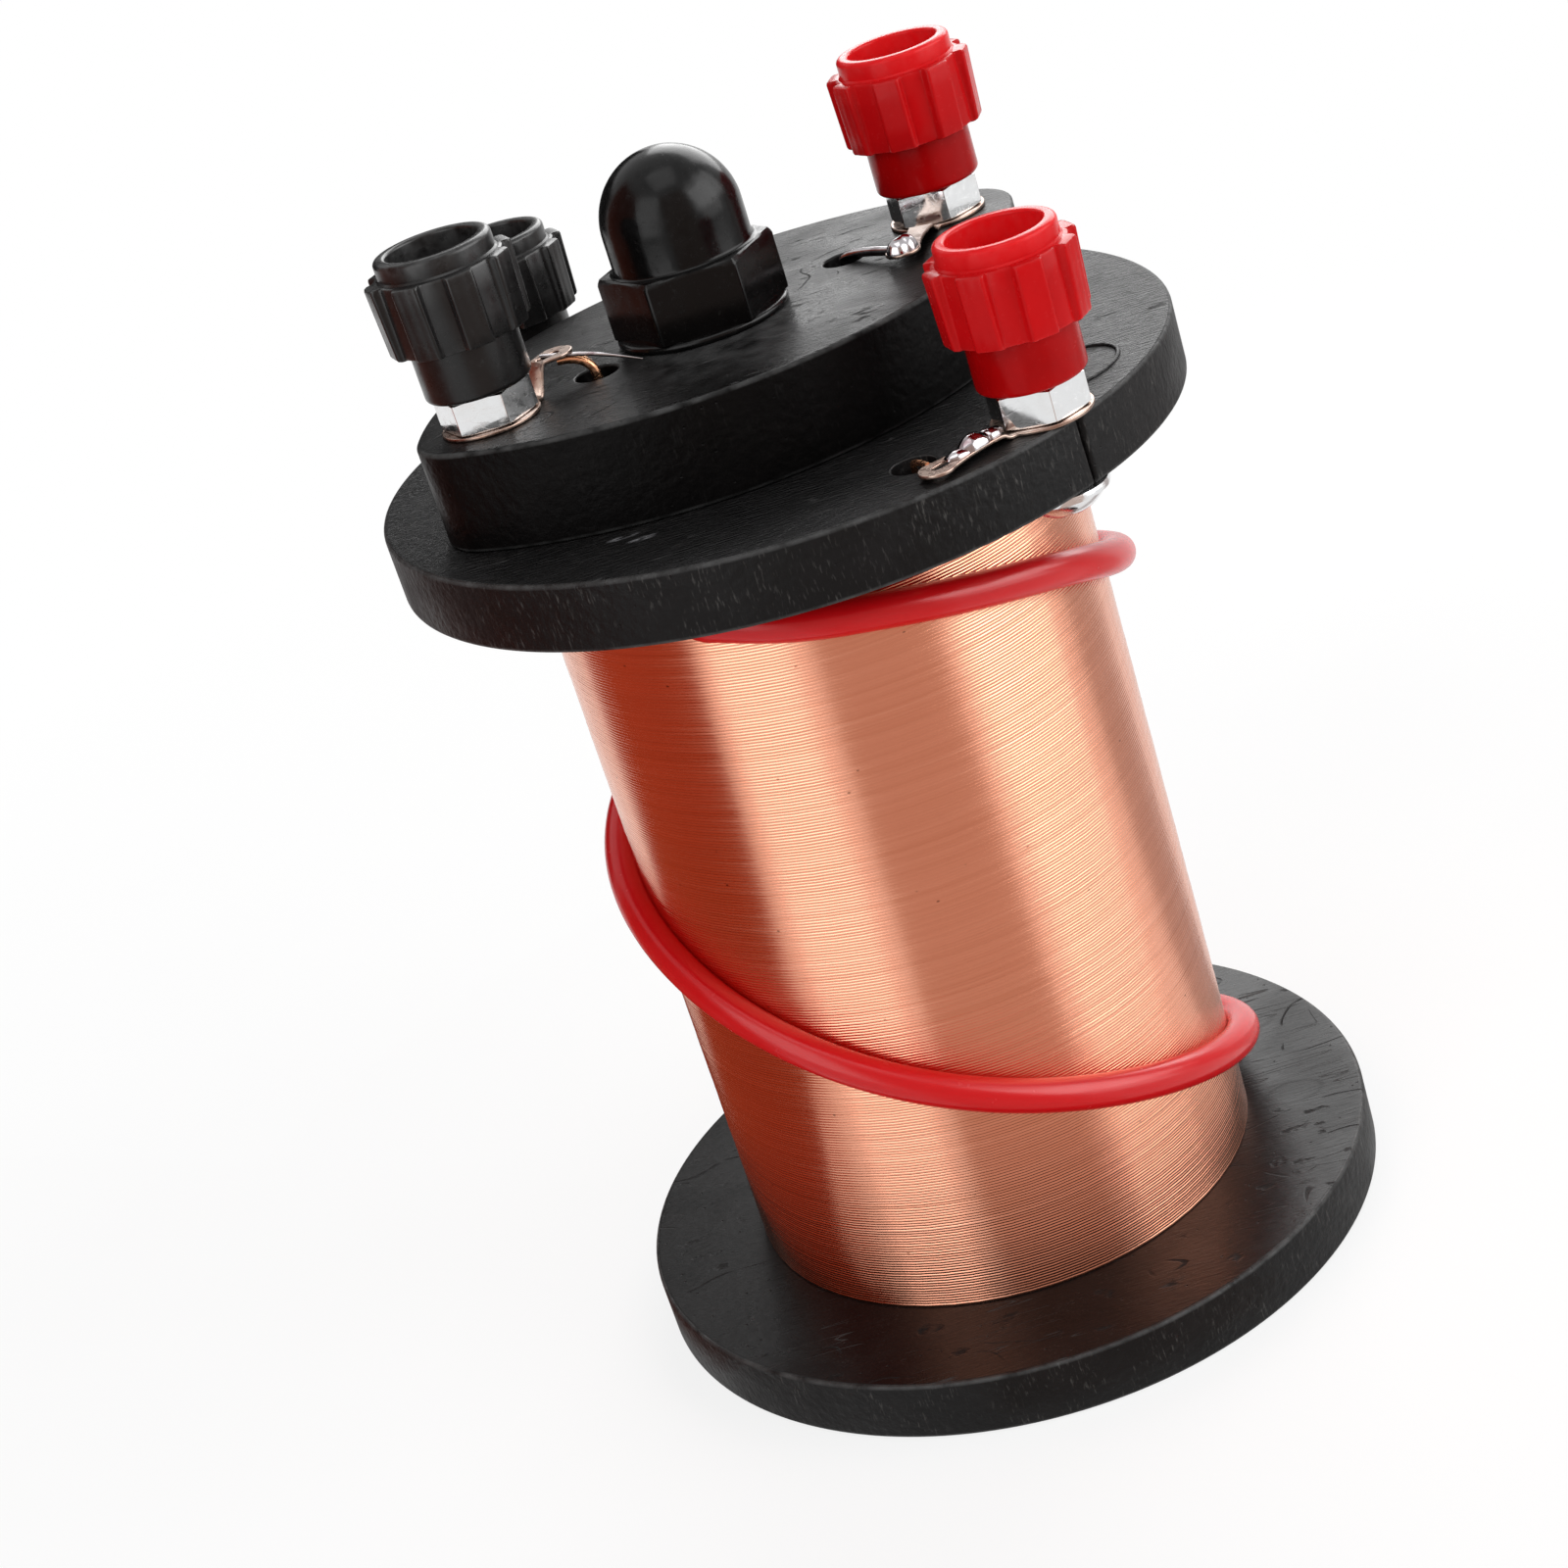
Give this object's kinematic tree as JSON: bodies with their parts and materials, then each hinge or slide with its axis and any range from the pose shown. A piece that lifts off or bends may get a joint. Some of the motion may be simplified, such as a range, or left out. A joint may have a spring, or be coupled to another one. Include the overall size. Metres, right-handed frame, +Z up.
{
  "type": "induction coil",
  "caption": "Classroom induction coil: a flanged coil of copper wire, a lift-out inner coil with an eye-shaped top plate, a lift-out iron core with a domed cap, and ribbed screw terminals.",
  "frame": {"origin": "centre of the underside of the base flange", "axes": "+Z up the coil's axis, +X to the right and -Y towards the viewer in the picture"},
  "size_m": [0.068, 0.068, 0.1055],
  "materials": {
    "flange_black": "satin, scuffed",
    "plate_black": "satin, scuffed",
    "tube_paper": "varnished paper tube",
    "copper_wire": "satin enamelled copper wire",
    "marker_red": "satin insulation",
    "nickel": "bright nickel plate",
    "lug_tinned": "thinly tinned brass",
    "lead_copper": "enamelled copper wire",
    "solder": "bright solder",
    "soft_iron": "drawn soft iron",
    "cap_black": "glossy moulded",
    "knob_red": "glossy moulded",
    "knob_black": "glossy moulded",
    "insert_brass": "turned brass"
  },
  "bodies": {
    "secondary_coil": {"base_flange": "flange_black", "top_flange": "flange_black", "secondary_tube": "tube_paper", "secondary_winding": "copper_wire", "secondary_turns": "copper_wire", "marker_wire": "marker_red", "secondary_screws": "nickel", "secondary_lugs": "lug_tinned", "secondary_nuts": "nickel", "secondary_leads": "lead_copper", "secondary_solder": "solder"},
    "primary_coil": {"primary_plate": "plate_black", "primary_tube": "tube_paper", "primary_end_flange": "plate_black", "primary_winding": "copper_wire", "primary_screws": "nickel", "primary_lugs": "lug_tinned", "primary_nuts": "nickel", "primary_leads": "lead_copper", "primary_solder": "solder"},
    "core": {"iron_core": "soft_iron", "core_cap": "cap_black"},
    "secondary_red_carrier": {"secondary_red_insert": "insert_brass"},
    "secondary_red_terminal": {"secondary_red_knob": "knob_red"},
    "secondary_black_carrier": {"secondary_black_insert": "insert_brass"},
    "secondary_black_terminal": {"secondary_black_knob": "knob_black"},
    "primary_red_carrier": {"primary_red_insert": "insert_brass"},
    "primary_red_terminal": {"primary_red_knob": "knob_red"},
    "primary_black_carrier": {"primary_black_insert": "insert_brass"},
    "primary_black_terminal": {"primary_black_knob": "knob_black"}
  },
  "joints": [
    {"name": "primary_lift", "type": "slide", "parent": "secondary_coil", "child": "primary_coil", "axis": [0, 0, 1], "range_m": [0, 0.09]},
    {"name": "core_lift", "type": "slide", "parent": "primary_coil", "child": "core", "axis": [0, 0, 1], "range_m": [0, 0.09]},
    {"name": "secondary_red_rise", "type": "slide", "parent": "secondary_coil", "child": "secondary_red_carrier", "axis": [0, 0, 1], "range_m": [0, 0.00351]},
    {"name": "secondary_red_turn", "type": "hinge", "parent": "secondary_red_carrier", "child": "secondary_red_terminal", "pos_m": [0.0193, -0.02375, 0.0851], "axis": [0, 0, 1], "range_deg": [0, 1800]},
    {"name": "secondary_black_rise", "type": "slide", "parent": "secondary_coil", "child": "secondary_black_carrier", "axis": [0, 0, 1], "range_m": [0, 0.00351]},
    {"name": "secondary_black_turn", "type": "hinge", "parent": "secondary_black_carrier", "child": "secondary_black_terminal", "pos_m": [-0.0193, 0.02375, 0.0851], "axis": [0, 0, 1], "range_deg": [0, 1800]},
    {"name": "primary_red_rise", "type": "slide", "parent": "primary_coil", "child": "primary_red_carrier", "axis": [0, 0, 1], "range_m": [0, 0.00351]},
    {"name": "primary_red_turn", "type": "hinge", "parent": "primary_red_carrier", "child": "primary_red_terminal", "pos_m": [0.01821, 0.00867, 0.0936], "axis": [0, 0, 1], "range_deg": [0, 1800]},
    {"name": "primary_black_rise", "type": "slide", "parent": "primary_coil", "child": "primary_black_carrier", "axis": [0, 0, 1], "range_m": [0, 0.00351]},
    {"name": "primary_black_turn", "type": "hinge", "parent": "primary_black_carrier", "child": "primary_black_terminal", "pos_m": [-0.02161, -0.01007, 0.0936], "axis": [0, 0, 1], "range_deg": [0, 1800]}
  ]
}
